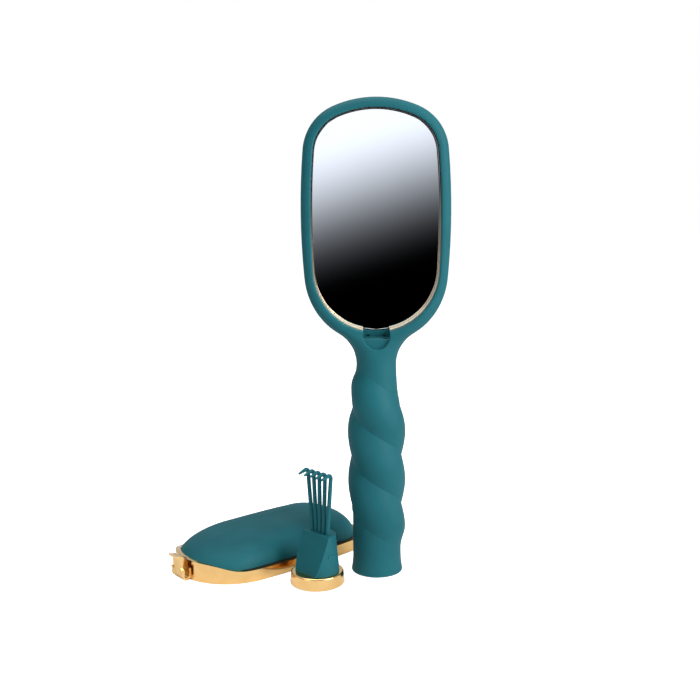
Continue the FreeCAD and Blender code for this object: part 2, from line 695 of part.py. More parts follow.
def make_tool_plug():
    """A tapered plug with one slanting flat, in front of the tines."""
    base_radius = SOCKET_RADIUS - PLUG_GAP
    cone = Part.makeCone(base_radius, PLUG_TOP_RADIUS, PLUG_HEIGHT)
    top_edges = [e for e in cone.Edges if e.BoundBox.ZMin > PLUG_HEIGHT - GLASS_GAP]
    plug = cone.makeFillet(PLUG_TOP_ROUND, top_edges)
    plug = plug.fuse(snap_ridges(base_radius))
    slope = (FACET_LOW - FACET_HIGH) / PLUG_HEIGHT
    side, clear_y, clear_z = -SOCKET_RADIUS, -FACET_LOW - OVERRUN, PLUG_HEIGHT + OVERRUN
    points = [Vector(side, -FACET_LOW, 0), Vector(side, slope * OVERRUN - FACET_HIGH, clear_z),
              Vector(side, clear_y, clear_z), Vector(side, clear_y, 0)]
    flat = Part.Face(Part.makePolygon(points + points[:1])).extrude(X_AXIS * 2 * SOCKET_RADIUS)
    return plug.cut(flat).fuse(make_spigot()).removeSplitter()


def snap_ridges(base_radius):
    radius = base_radius + (PLUG_TOP_RADIUS - base_radius) * SNAP_HEIGHT / PLUG_HEIGHT + SNAP_PROUD
    disc = Part.makeCylinder(radius, SNAP_THICKNESS, Vector(0, 0, SNAP_HEIGHT))
    return disc.common(box(-SOCKET_RADIUS, SOCKET_RADIUS, -SNAP_WIDTH / 2, SNAP_WIDTH / 2,
                           SNAP_HEIGHT - OVERRUN, SNAP_HEIGHT + OVERRUN))


def make_tine(index):
    """One tine of the rake: a slim taper that leans outward, bent over at the top to a blunt point."""
    place = index - (TINE_COUNT - 1) / 2
    bend_z = PLUG_HEIGHT + TINE_LENGTH - TINE_TOP_RADIUS - TINE_BEND_RADIUS
    root_centre = Vector(place * TINE_ROOT_PITCH, TINE_ROW_BACK, PLUG_HEIGHT)
    top_centre = Vector(place * TINE_TOP_PITCH, TINE_ROW_BACK, bend_z)
    root = Part.Circle(root_centre, Z_AXIS, TINE_ROOT_RADIUS)
    top = Part.Circle(top_centre, Z_AXIS, TINE_TOP_RADIUS)
    stem = Part.makeLoft([Part.Wire(root.toShape()), Part.Wire(top.toShape())], True, True)
    pivot = top_centre - Y_AXIS * TINE_BEND_RADIUS
    turn = 90 + TINE_HOOK_TILT
    bend = Part.Face(Part.Wire(top.toShape())).revolve(pivot, X_AXIS, turn)
    swing = FreeCAD.Rotation(X_AXIS, turn)
    hook_root = pivot + swing.multVec(top_centre - pivot)
    hook_way = swing.multVec(Z_AXIS)
    hook = Part.makeCone(TINE_TOP_RADIUS, TINE_POINT_RADIUS, TINE_HOOK_LENGTH, hook_root, hook_way)
    return stem.fuse([bend, hook]).Solids[0]


def laid_down(shape):
    """Moves a cover piece from its seat on the head to where it lies, dome up, on the table."""
    centre = Vector(0, 0, rim.middle_z())
    tipped = FreeCAD.Placement(Vector(0, 0, 0), FreeCAD.Rotation(X_AXIS, -90))
    turned = FreeCAD.Placement(Vector(COVER_X, COVER_Y, 0), FreeCAD.Rotation(Z_AXIS, COVER_YAW))
    to_origin = FreeCAD.Placement(-centre, FreeCAD.Rotation())
    placed = shape.copy()
    placed.Placement = turned.multiply(tipped).multiply(to_origin).multiply(placed.Placement)
    return placed


def stood_up(shape):
    """Moves a tool piece from its seat in the handle to where it stands on the table."""
    lifted = Vector(TOOL_X, TOOL_Y, CAP_HEIGHT)
    placed = shape.copy()
    turned = FreeCAD.Placement(lifted, FreeCAD.Rotation(Z_AXIS, TOOL_YAW))
    placed.Placement = turned.multiply(placed.Placement)
    return placed


def seated_pieces():
    """All pieces where they sit when the brush is closed up, by body."""
    cushion = make_cushion()
    brush = {"brush_body": make_brush_body(), "recess_liner": make_recess_liner(),
             "mirror_glass": make_mirror(), "mirror_pad": make_mirror_pad(), "bristle_cushion": cushion}
    for index, row in enumerate(make_bristle_rows(cushion)):
        brush["bristle_row_%02d" % (index + 1)] = row
    cover = {"cover_tray": make_tray(), "cover_dome": make_dome(), "latch_arm": make_latch()}
    tool = {"tool_cap": make_tool_cap(), "tool_plug": make_tool_plug()}
    for index in range(TINE_COUNT):
        tool["rake_tine_%d" % (index + 1)] = make_tine(index)
    return brush, cover, tool


def main():
    os.makedirs("parts", exist_ok=True)
    brush, cover, tool = seated_pieces()
    pieces = dict(brush)
    pieces.update({name: laid_down(shape) for name, shape in cover.items()})
    pieces.update({name: stood_up(shape) for name, shape in tool.items()})
    for name, shape in pieces.items():
        shape.exportStep("parts/%s.step" % name)
        limits = shape.BoundBox
        print("%s valid %s solids %d volume %.1f x %.1f..%.1f y %.1f..%.1f z %.1f..%.1f" % (
            name, shape.isValid(), len(shape.Solids), shape.Volume, limits.XMin, limits.XMax,
            limits.YMin, limits.YMax, limits.ZMin, limits.ZMax))


if __name__ == "__main__":
    main()
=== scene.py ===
"""Looks of a mirror-backed hair brush, its cover and its cleaning tool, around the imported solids."""

from __future__ import annotations

import logging
import math
import random
from dataclasses import dataclass
from enum import Enum

import bmesh
import bpy
from mathutils import Matrix, Vector
from mathutils.bvhtree import BVHTree


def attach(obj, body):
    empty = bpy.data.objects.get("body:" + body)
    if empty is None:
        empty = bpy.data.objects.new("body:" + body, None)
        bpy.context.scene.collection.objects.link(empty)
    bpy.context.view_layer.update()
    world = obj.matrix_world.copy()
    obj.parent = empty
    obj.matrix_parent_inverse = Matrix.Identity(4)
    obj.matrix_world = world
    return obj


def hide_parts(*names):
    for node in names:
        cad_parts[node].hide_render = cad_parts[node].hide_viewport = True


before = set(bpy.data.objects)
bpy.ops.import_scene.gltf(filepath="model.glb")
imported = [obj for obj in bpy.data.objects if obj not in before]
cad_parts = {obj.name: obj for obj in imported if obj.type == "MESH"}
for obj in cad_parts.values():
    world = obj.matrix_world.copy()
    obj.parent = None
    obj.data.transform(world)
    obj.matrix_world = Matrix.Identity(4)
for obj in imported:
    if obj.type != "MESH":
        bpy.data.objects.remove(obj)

LOG = logging.getLogger("brush_scene")
MM = 0.001
MERGE = 0.002 * MM
GOLDEN_ANGLE = math.pi * (3 - math.sqrt(5))
MIX_FIRST, MIX_SECOND, MIX_RESULT = 6, 7, 2

Colour = tuple[float, float, float]
Point = tuple[float, float, float]


class Body(Enum):
    """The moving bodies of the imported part."""

    BRUSH = "brush"
    COVER = "cover"
    LATCH = "latch"
    TOOL = "tool"


class Slot(Enum):
    """The record's material slots."""

    TEAL = "soft_touch_teal"
    GOLD = "gold_plated"
    MIRROR = "mirror_glass"
    TAPE = "foam_tape"
    RUBBER = "cushion_rubber"
    BRISTLE = "boar_bristle"


def linear(red: int, green: int, blue: int) -> Colour:
    """Turns a display colour into linear light.

    Args:
        red: Display red, 0 to 255.
        green: Display green, 0 to 255.
        blue: Display blue, 0 to 255.

    Returns:
        The three channels in linear light.
    """
    shares = [channel / 255 for channel in (red, green, blue)]
    return tuple(s / 12.92 if s <= 0.04045 else ((s + 0.055) / 1.055) ** 2.4 for s in shares)


def rgba(colour: Colour) -> tuple[float, float, float, float]:
    """Adds full opacity to a colour."""
    return (*colour, 1.0)


def spread_over(tree: bpy.types.NodeTree, mask: bpy.types.NodeSocket, low: float,
                high: float) -> bpy.types.NodeSocket:
    """Spreads a mask over a range of values.

    Args:
        tree: The tree that the mask is in.
        mask: A socket from 0 to 1.
        low: The value at 0.
        high: The value at 1.

    Returns:
        The socket that gives the value.
    """
    node = tree.nodes.new("ShaderNodeMapRange")
    node.inputs["To Min"].default_value = low
    node.inputs["To Max"].default_value = high
    tree.links.new(mask, node.inputs["Value"])
    return node.outputs["Result"]


class Effects:
    """Shader node groups that several finishes share, each built once."""

    def __init__(self) -> None:
        """Builds every group."""
        self.mottle = self._patches("tone_mottle", scale=60.0, layers=(3.0, 0.55, 0.0), band=(0.3, 0.7))
        self.marks = self._patches("handling_marks", scale=40.0, layers=(5.0, 0.7, 1.6),
                                   band=(0.56, 0.78))
        self.grain = self._grain()
        self.edges = self._edges()

    @staticmethod
    def _start(name: str, label: str, value: float,
               output: str) -> tuple[bpy.types.NodeTree, bpy.types.Node, bpy.types.Node]:
        """Starts a group.

        Args:
            name: The group's name.
            label: The name of its one input.
            value: The input's starting value.
            output: The name of its one output.

        Returns:
            The group's tree, its input node and its output node.
        """
        tree = bpy.data.node_groups.new(name, "ShaderNodeTree")
        socket = tree.interface.new_socket(label, in_out="INPUT", socket_type="NodeSocketFloat")
        socket.default_value = value
        tree.interface.new_socket(output, in_out="OUTPUT", socket_type="NodeSocketFloat")
        return tree, tree.nodes.new("NodeGroupInput"), tree.nodes.new("NodeGroupOutput")

    @staticmethod
    def _noise(tree: bpy.types.NodeTree, detail: float, roughness: float) -> bpy.types.Node:
        """Adds a noise texture on object coordinates.

        Args:
            tree: The tree that gets the texture.
            detail: How many finer layers it has.
            roughness: How strong the finer layers are.

        Returns:
            The noise node.
        """
        place = tree.nodes.new("ShaderNodeTexCoord")
        noise = tree.nodes.new("ShaderNodeTexNoise")
        noise.inputs["Detail"].default_value = detail
        noise.inputs["Roughness"].default_value = roughness
        tree.links.new(place.outputs["Object"], noise.inputs["Vector"])
        return noise

    @staticmethod
    def _spread(tree: bpy.types.NodeTree, low: float, high: float) -> bpy.types.Node:
        """Adds a node that stretches a band of values over 0 to 1.

        Args:
            tree: The tree that gets the node.
            low: The value that becomes 0.
            high: The value that becomes 1.

        Returns:
            The Map Range node.
        """
        spread = tree.nodes.new("ShaderNodeMapRange")
        spread.interpolation_type = "SMOOTHSTEP"
        spread.inputs["From Min"].default_value = low
        spread.inputs["From Max"].default_value = high
        return spread

    def _patches(self, name: str, scale: float, layers: tuple[float, float, float],
                 band: tuple[float, float]) -> bpy.types.NodeTree:
        """Makes a mask of patches: soft and broad for tone, or sparse and smeared as hands leave them.

        Args:
            name: The group's name.
            scale: Its starting scale.
            layers: The noise's detail, roughness and distortion.
            band: The values of the noise that become 0 and 1.

        Returns:
            The group, with a Scale and a Mask.
        """
        tree, source, result = self._start(name, "Scale", scale, "Mask")
        detail, roughness, distortion = layers
        noise = self._noise(tree, detail, roughness)
        noise.inputs["Distortion"].default_value = distortion
        spread = self._spread(tree, *band)
        tree.links.new(source.outputs["Scale"], noise.inputs["Scale"])
        tree.links.new(noise.outputs["Fac"], spread.inputs["Value"])
        tree.links.new(spread.outputs["Result"], result.inputs["Mask"])
        return tree

    def _grain(self) -> bpy.types.NodeTree:
        """Makes the fine, even tooth of a sprayed or moulded surface.

        Returns:
            The group, with a Scale and a Height.
        """
        tree, source, result = self._start("fine_grain", "Scale", 2600.0, "Height")
        noise = self._noise(tree, detail=2.0, roughness=0.6)
        tree.links.new(source.outputs["Scale"], noise.inputs["Scale"])
        tree.links.new(noise.outputs["Fac"], result.inputs["Height"])
        return tree

    def _edges(self) -> bpy.types.NodeTree:
        """Finds edges, where a coat is thinner and rubs first.

        Returns:
            The group, with a Radius and a Mask.
        """
        tree, source, result = self._start("edge_rub", "Radius", 0.6 * MM, "Mask")
        soft = tree.nodes.new("ShaderNodeBevel")
        soft.samples = 6
        true = tree.nodes.new("ShaderNodeNewGeometry")
        dot = tree.nodes.new("ShaderNodeVectorMath")
        dot.operation = "DOT_PRODUCT"
        spread = self._spread(tree, low=0.995, high=0.86)
        tree.links.new(source.outputs["Radius"], soft.inputs["Radius"])
        tree.links.new(soft.outputs["Normal"], dot.inputs[0])
        tree.links.new(true.outputs["Normal"], dot.inputs[1])
        tree.links.new(dot.outputs["Value"], spread.inputs["Value"])
        tree.links.new(spread.outputs["Result"], result.inputs["Mask"])
        return tree


class Bench:
    """One material under construction: its tree, its shader and small helpers."""

    def __init__(self, name: str) -> None:
        """Starts a node material.

        Args:
            name: The material's name.
        """
        self.material = bpy.data.materials.new(name)
        self.material.use_nodes = True
        self.tree = self.material.node_tree
        self.shader = self.tree.nodes["Principled BSDF"]

    def set(self, **values: float) -> None:
        """Sets constant shader sockets, named with underscores for spaces."""
        for label, value in values.items():
            self.shader.inputs[label.replace("_", " ")].default_value = value

    def effect(self, group: bpy.types.NodeTree, **values: float) -> bpy.types.NodeSocket:
        """Places a shared group with its own values.

        Args:
            group: The group's tree.
            **values: Input values by name.

        Returns:
            The group's output socket.
        """
        node = self.tree.nodes.new("ShaderNodeGroup")
        node.node_tree = group
        for label, value in values.items():
            node.inputs[label].default_value = value
        return node.outputs[0]

    def blend(self, mask: bpy.types.NodeSocket, first: Colour | bpy.types.NodeSocket,
              second: Colour | bpy.types.NodeSocket) -> bpy.types.NodeSocket:
        """Mixes two colours by a mask.

        Args:
            mask: The socket that gives the share of the second colour.
            first: A linear colour or a colour socket.
            second: A linear colour or a colour socket.

        Returns:
            The mixed colour's socket.
        """
        node = self.tree.nodes.new("ShaderNodeMix")
        node.data_type = "RGBA"
        self.tree.links.new(mask, node.inputs["Factor"])
        for index, value in ((MIX_FIRST, first), (MIX_SECOND, second)):
            if isinstance(value, bpy.types.NodeSocket):
                self.tree.links.new(value, node.inputs[index])
            else:
                node.inputs[index].default_value = rgba(value)
        return node.outputs[MIX_RESULT]

    def between(self, mask: bpy.types.NodeSocket, low: float, high: float) -> bpy.types.NodeSocket:
        """Spreads a mask over a range of values in this material."""
        return spread_over(self.tree, mask, low, high)

    def rise(self, axis: str, low: float, high: float, bow: float) -> bpy.types.NodeSocket:
        """Makes a mask that grows along one axis of the object.

        Args:
            axis: X, Y or Z.
            low: Where the mask is 0, in metres.
            high: Where the mask is 1, in metres.
            bow: The power that bends the mask; 1 leaves it straight.

        Returns:
            The mask's socket.
        """
        place = self.tree.nodes.new("ShaderNodeTexCoord")
        split = self.tree.nodes.new("ShaderNodeSeparateXYZ")
        node = self.tree.nodes.new("ShaderNodeMapRange")
        node.inputs["From Min"].default_value = low
        node.inputs["From Max"].default_value = high
        self.tree.links.new(place.outputs["Object"], split.inputs["Vector"])
        self.tree.links.new(split.outputs[axis], node.inputs["Value"])
        bent = self.tree.nodes.new("ShaderNodeMath")
        bent.operation = "POWER"
        bent.inputs[1].default_value = bow
        self.tree.links.new(node.outputs["Result"], bent.inputs[0])
        return bent.outputs["Value"]

    def feed(self, socket: bpy.types.NodeSocket, label: str) -> None:
        """Links a socket to one of the shader's inputs."""
        self.tree.links.new(socket, self.shader.inputs[label])

    def bump(self, height: bpy.types.NodeSocket, strength: float, distance: float) -> None:
        """Lets a height move the shader's normal.

        Args:
            height: The height socket.
            strength: The bump's strength.
            distance: The height of a full step in metres.
        """
        node = self.tree.nodes.new("ShaderNodeBump")
        node.inputs["Strength"].default_value = strength
        node.inputs["Distance"].default_value = distance
        self.tree.links.new(height, node.inputs["Height"])
        self.feed(node.outputs["Normal"], "Normal")


@dataclass(frozen=True)
class SoftTouch:
    """Teal soft-touch coat on moulded plastic."""

    name: str = "soft_touch_coat"
    deep: Colour = linear(12, 76, 84)
    light: Colour = linear(15, 81, 89)
    rubbed: Colour = linear(40, 105, 114)
    rub: float = 0.45
    rough_low: float = 0.52
    rough_high: float = 0.62
    grain_scale: float = 2400.0

    def build(self, effects: Effects) -> bpy.types.Material:
        """Makes the material.

        Args:
            effects: The shared groups.

        Returns:
            The finished material.
        """
        bench = Bench(self.name)
        patches = bench.effect(effects.mottle, Scale=55.0)
        edges = bench.effect(effects.edges, Radius=0.7 * MM)
        tone = bench.blend(patches, self.deep, self.light)
        bench.feed(bench.blend(bench.between(edges, 0.0, self.rub), tone, self.rubbed), "Base Color")
        smears = bench.effect(effects.marks, Scale=34.0)
        bench.feed(bench.between(smears, self.rough_high, self.rough_low), "Roughness")
        grain = bench.effect(effects.grain, Scale=self.grain_scale)
        bench.bump(grain, strength=0.12, distance=0.05 * MM)
        bench.set(Specular_IOR_Level=0.16)
        return bench.material


@dataclass(frozen=True)
class GoldPlate:
    """Polished gold plating, which may darken up the piece to a dark tone: a painted shade that stands
    in for the dark its upper part reflects.
    """

    name: str = "gold_plating"
    warm: Colour = linear(212, 171, 110)
    pale: Colour = linear(220, 182, 122)
    worn: Colour = linear(236, 206, 154)
    rub: float = 0.5
    rough_low: float = 0.1
    rough_high: float = 0.18
    tooth: float = 0.05
    # Painted shade: the dark colour that the plating blends to up the piece, where the blend starts and
    # ends, and how it bends.
    painted_shade: Colour | None = None
    painted_shade_low: float = 136 * MM
    painted_shade_high: float = 195 * MM
    painted_shade_bow: float = 0.45

    def build(self, effects: Effects) -> bpy.types.Material:
        """Makes the material.

        Args:
            effects: The shared groups.

        Returns:
            The finished material.
        """
        bench = Bench(self.name)
        patches = bench.effect(effects.mottle, Scale=90.0)
        edges = bench.effect(effects.edges, Radius=0.4 * MM)
        tone = bench.blend(patches, self.warm, self.pale)
        tone = bench.blend(bench.between(edges, 0.0, self.rub), tone, self.worn)
        # Painted shade: the plating darkens with height, standing in for the dark that its upper part
        # reflects.
        if self.painted_shade is not None:
            height = bench.rise("Z", self.painted_shade_low, self.painted_shade_high, self.painted_shade_bow)
            tone = bench.blend(height, tone, self.painted_shade)
        bench.feed(tone, "Base Color")
        smears = bench.effect(effects.marks, Scale=70.0)
        bench.feed(bench.between(smears, self.rough_low, self.rough_high), "Roughness")
        grain = bench.effect(effects.grain, Scale=900.0)
        bench.bump(grain, strength=self.tooth, distance=0.04 * MM)
        bench.set(Metallic=1.0)
        return bench.material


@dataclass(frozen=True)
class SilveredGlass:
    """A silvered mirror, clean but for the faintest smears."""

    name: str = "silvered_glass"
    cool: Colour = linear(246, 249, 250)
    clear: Colour = linear(249, 251, 252)
    rough_low: float = 0.004
    rough_high: float = 0.02

    def build(self, effects: Effects) -> bpy.types.Material:
        """Makes the material.

        Args:
            effects: The shared groups.

        Returns:
            The finished material.
        """
        bench = Bench(self.name)
        patches = bench.effect(effects.mottle, Scale=25.0)
        bench.feed(bench.blend(patches, self.cool, self.clear), "Base Color")
        smears = bench.effect(effects.marks, Scale=30.0)
        bench.feed(bench.between(smears, self.rough_low, self.rough_high), "Roughness")
        bench.set(Metallic=1.0)
        return bench.material


@dataclass(frozen=True)
class PadRubber:
    """Matt rubber, for the bristle pad, its eyelets and the foam tape."""

    name: str = "pad_rubber"
    deep: Colour = linear(20, 27, 29)
    light: Colour = linear(31, 40, 42)
    rough_low: float = 0.52
    rough_high: float = 0.66
    grain_scale: float = 1500.0

    def build(self, effects: Effects) -> bpy.types.Material:
        """Makes the material.

        Args:
            effects: The shared groups.

        Returns:
            The finished material.
        """
        bench = Bench(self.name)
        patches = bench.effect(effects.mottle, Scale=70.0)
        bench.feed(bench.blend(patches, self.deep, self.light), "Base Color")
        smears = bench.effect(effects.marks, Scale=60.0)
        bench.feed(bench.between(smears, self.rough_low, self.rough_high), "Roughness")
        grain = bench.effect(effects.grain, Scale=self.grain_scale)
        bench.bump(grain, strength=0.2, distance=0.06 * MM)
        bench.set(Specular_IOR_Level=0.4)
        return bench.material


@dataclass(frozen=True)
class BoarHair:
    """Natural bristle: dark at the root, browner and drier towards the split tip."""

    name: str = "boar_hair"
    root: Colour = linear(22, 17, 15)
    tip: Colour = linear(92, 66, 46)
    pale: Colour = linear(128, 98, 70)
    streak: float = 0.35
    rough_low: float = 0.34
    rough_high: float = 0.52
    root_y: float = 12 * MM
    tip_y: float = 30 * MM

    def build(self, effects: Effects) -> bpy.types.Material:
        """Makes the material.

        Args:
            effects: The shared groups.

        Returns:
            The finished material.
        """
        bench = Bench(self.name)
        shade = bench.blend(bench.rise("Y", self.root_y, self.tip_y, 1.0), self.root, self.tip)
        strands = bench.effect(effects.mottle, Scale=900.0)
        streaks = bench.between(strands, 0.0, self.streak)
        bench.feed(bench.blend(streaks, shade, self.pale), "Base Color")
        bench.feed(bench.between(strands, self.rough_low, self.rough_high), "Roughness")
        grain = bench.effect(effects.grain, Scale=3000.0)
        bench.bump(grain, strength=0.15, distance=0.03 * MM)
        bench.set(Specular_IOR_Level=0.45)
        return bench.material


class Finishes:
    """Every finish of the brush, ready to use."""

    def __init__(self) -> None:
        """Builds the shared effects and the materials."""
        effects = Effects()
        self.teal = SoftTouch().build(effects)
        self.gold = GoldPlate().build(effects)
        # The trim's near-black brown towards its top is painted shade, standing in for the dark its
        # upper arch reflects.
        self.trim = GoldPlate("polished_trim", warm=linear(250, 228, 192), pale=linear(252, 233, 202),
                              worn=linear(255, 243, 222), rough_low=0.4, rough_high=0.48, tooth=0.004,
                              painted_shade=linear(40, 28, 18)).build(effects)
        # Painted shade: a dark brown gold for the channel round the dome, standing in for the shade it
        # lies in.
        self.shaded_gold = GoldPlate("shaded_gold", warm=linear(118, 76, 38), pale=linear(130, 86, 46),
                                     worn=linear(150, 104, 60), rough_low=0.3,
                                     rough_high=0.4).build(effects)
        self.mirror = SilveredGlass().build(effects)
        self.rubber = PadRubber().build(effects)
        self.tape = PadRubber("foam_tape", deep=linear(14, 14, 14), light=linear(26, 26, 26),
                              grain_scale=600.0).build(effects)
        self.bristle = BoarHair().build(effects)

    def for_slot(self, slot: Slot, polished: bool = False) -> bpy.types.Material:
        """Finds the material of a record slot.

        Args:
            slot: The record's slot.
            polished: Whether plating is the paler kind round the mirror.

        Returns:
            The material that the slot takes.
        """
        if polished:
            return self.trim
        return {Slot.TEAL: self.teal, Slot.GOLD: self.gold, Slot.MIRROR: self.mirror,
                Slot.TAPE: self.tape, Slot.RUBBER: self.rubber, Slot.BRISTLE: self.bristle}[slot]


def merged_form(node: str) -> bmesh.types.BMesh:
    """Copies a CAD node's mesh and joins its loose triangles.

    Args:
        node: The CAD node's name.

    Returns:
        The joined mesh, to be shaped and then freed.
    """
    form = bmesh.new()
    form.from_mesh(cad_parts[node].data)
    bmesh.ops.remove_doubles(form, verts=form.verts, dist=MERGE)
    bmesh.ops.dissolve_degenerate(form, edges=form.edges, dist=MERGE)
    return form


def make_piece(name: str, form: bmesh.types.BMesh, material: bpy.types.Material,
               body: Body) -> bpy.types.Object:
    """Turns a shaped mesh into a piece that rides on a body.

    Args:
        name: The piece's name.
        form: The shaped mesh, which is freed here.
        material: Its material.
        body: The body that it rides on.

    Returns:
        The finished object.
    """
    mesh = bpy.data.meshes.new(name)
    form.to_mesh(mesh)
    form.free()
    normals = mesh.attributes.get("custom_normal")
    if normals is not None:
        mesh.attributes.remove(normals)
    mesh.materials.clear()
    mesh.materials.append(material)
    mesh.polygons.foreach_set("material_index", [0] * len(mesh.polygons))
    piece = bpy.data.objects.new(name, mesh)
    bpy.context.scene.collection.objects.link(piece)
    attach(piece, body.value)
    LOG.info("%s: %d faces on %s", name, len(mesh.polygons), body.value)
    return piece


@dataclass(frozen=True)
class DressedNode:
    """A rigid piece: a CAD node's form with joined faces, eased edges and its finish."""

    node: str
    piece: str
    body: Body
    slot: Slot
    ease: float = 0.0
    crease: float = 32.0
    flat: float = 0.6
    segments: int = 2
    weld: float = 0.004 * MM
    polished: bool = False

    def build(self, finishes: Finishes) -> None:
        """Makes the piece in place of its CAD node.

        Args:
            finishes: The finishes.
        """
        form = merged_form(self.node)
        self.detail(form)
        if self.ease:
            self.ease_edges(form)
        for face in form.faces:
            face.smooth = True
        for edge in form.edges:
            edge.smooth = not self.stays_crisp(edge)
        material = finishes.for_slot(self.slot, self.polished)
        piece = make_piece(self.piece, form, material, self.body)
        self.accent(piece, finishes)
        weights = piece.modifiers.new("even_shading", "WEIGHTED_NORMAL")
        weights.keep_sharp = True
        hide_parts(self.node)

    def detail(self, form: bmesh.types.BMesh) -> None:
        """Adds what only this piece has; a plain piece has nothing."""

    def accent(self, piece: bpy.types.Object, finishes: Finishes) -> None:
        """Gives some faces a second finish; a plain piece has one finish."""

    def eased_at(self, place: Vector) -> bool:
        """Tells whether sharp edges are eased at a place; on a plain piece they are everywhere."""
        return True

    def is_sharp(self, edge: bmesh.types.BMEdge) -> bool:
        """Tells whether the two faces at an edge turn by more than the crease angle."""
        return edge.calc_face_angle(0.0) > math.radians(self.crease)

    def stays_crisp(self, edge: bmesh.types.BMEdge) -> bool:
        """Tells whether the shading breaks at an edge."""
        return len(edge.link_faces) != 2 or self.is_sharp(edge)

    def ease_edges(self, form: bmesh.types.BMesh) -> None:
        """Joins flat faces and rounds the sharp edges.

        Args:
            form: The form.
        """
        inside = [v for v in form.verts if self.eased_at(v.co)]
        kept = set(inside)
        bmesh.ops.dissolve_limit(form, angle_limit=math.radians(self.flat), verts=inside,
                                 edges=[e for e in form.edges if kept.issuperset(e.verts)],
                                 use_dissolve_boundaries=False)
        sharp = [e for e in form.edges
                 if self.is_sharp(e) and all(self.eased_at(v.co) for v in e.verts)]
        bmesh.ops.bevel(form, geom=sharp, offset=self.ease, offset_type="OFFSET", affect="EDGES",
                        segments=self.segments, profile=0.5, material=-1, clamp_overlap=True)
        if self.weld:
            bmesh.ops.remove_doubles(form, verts=form.verts, dist=self.weld)
        bmesh.ops.triangulate(form, faces=[f for f in form.faces if len(f.verts) > 4])


@dataclass(frozen=True)
class BrushShell(DressedNode):
    """The moulded body, with two pockets for the latch's catches in the foot of its slot."""

    zone_low: Point = (-0.009, -0.02, 0.115)
    zone_high: Point = (0.009, -0.0045, 0.1245)
    valley: float = 8.0
    valley_below: float = 104 * MM
    floor_y: float = 0.3 * MM
    floor_slack: float = 0.02 * MM
    floor_facing: float = -0.9
    slot_end: float = 122.063 * MM
    slot_half: float = 6.65 * MM
    pocket_spread: float = 4.2 * MM
    pocket_half: float = 0.95 * MM
    pocket_height: float = 1.2 * MM
    pocket_depth: float = 1.6 * MM
    cut_slack: float = 0.001 * MM

    def eased_at(self, place: Vector) -> bool:
        """Tells whether sharp edges are eased at a place: only round the scoop below the slot."""
        return all(low <= at <= high for low, at, high in zip(self.zone_low, place, self.zone_high))

    def stays_crisp(self, edge: bmesh.types.BMEdge) -> bool:
        """Tells whether the shading breaks at an edge, as it does in the valleys between the strands.

        Args:
            edge: An edge of the body.

        Returns:
            True for a sharp edge, an open one or a valley.
        """
        low = max(vert.co.z for vert in edge.verts) < self.valley_below
        valley = low and not edge.is_convex and edge.calc_face_angle(0.0) > math.radians(self.valley)
        return valley or super().stays_crisp(edge)

    def on_floor(self, face: bmesh.types.BMFace) -> bool:
        """Tells whether a face belongs to the slot's floor.

        Args:
            face: A face of the body.

        Returns:
            True for a face that a pocket may be cut in.
        """
        centre = face.calc_center_median()
        flat = abs(centre.y - self.floor_y) < self.floor_slack and face.normal.y < self.floor_facing
        return flat and self.slot_end < centre.z and abs(centre.x) < self.slot_half

    def in_mouth(self, place: Vector, side: int) -> bool:
        """Tells whether a place on the floor lies in the mouth of one side's pocket."""
        across = abs(place.x - side * self.pocket_spread) < self.pocket_half
        return across and place.z < self.slot_end + self.pocket_height

    def detail(self, form: bmesh.types.BMesh) -> None:
        """Cuts the pockets.

        Args:
            form: The body's form.
        """
        sides = (-1, 1)
        cuts = [(Vector((side * self.pocket_spread + reach, 0, 0)), Vector((1, 0, 0)))
                for side in sides for reach in (-self.pocket_half, self.pocket_half)]
        cuts.append((Vector((0, 0, self.slot_end + self.pocket_height)), Vector((0, 0, 1))))
        for place, way in cuts:
            floor = [f for f in form.faces if self.on_floor(f)]
            edges = dict.fromkeys(e for f in floor for e in f.edges)
            verts = dict.fromkeys(v for f in floor for v in f.verts)
            bmesh.ops.bisect_plane(form, geom=[*floor, *edges, *verts], dist=self.cut_slack,
                                   plane_co=place, plane_no=way)
        for side in sides:
            mouth = [f for f in form.faces
                     if self.on_floor(f) and self.in_mouth(f.calc_center_median(), side)]
            pushed = bmesh.ops.extrude_face_region(form, geom=mouth)
            verts = [item for item in pushed["geom"] if isinstance(item, bmesh.types.BMVert)]
            bmesh.ops.translate(form, verts=verts, vec=(0, self.pocket_depth, 0))
            bmesh.ops.delete(form, geom=mouth, context="FACES_ONLY")


@dataclass(frozen=True)
class CoverShell(DressedNode):
    """The cover's dome, its crown evened out to one soft sweep."""

    crown_depth: float = 2.2 * MM
    wide: float = 1.5 * MM
    rounds: int = 2
    passes: int = 40

    def detail(self, form: bmesh.types.BMesh) -> None:
        """Divides the flat of the crown and lets it settle into the slopes round it.

        Args:
            form: The dome's form.
        """
        foot = max(v.co.z for v in form.verts) - self.crown_depth
        for _ in range(self.rounds):
            wide = [e for e in form.edges
                    if e.calc_length() > self.wide and min(v.co.z for v in e.verts) > foot]
            bmesh.ops.subdivide_edges(form, edges=wide, cuts=1, use_grid_fill=True,
                                      use_single_edge=True)
            bmesh.ops.triangulate(form, faces=[f for f in form.faces if len(f.verts) > 3])
        crown = [v for v in form.verts if v.co.z > foot]
        for _ in range(self.passes):
            bmesh.ops.smooth_vert(form, verts=crown, factor=0.5, use_axis_x=True, use_axis_y=True,
                                  use_axis_z=True)


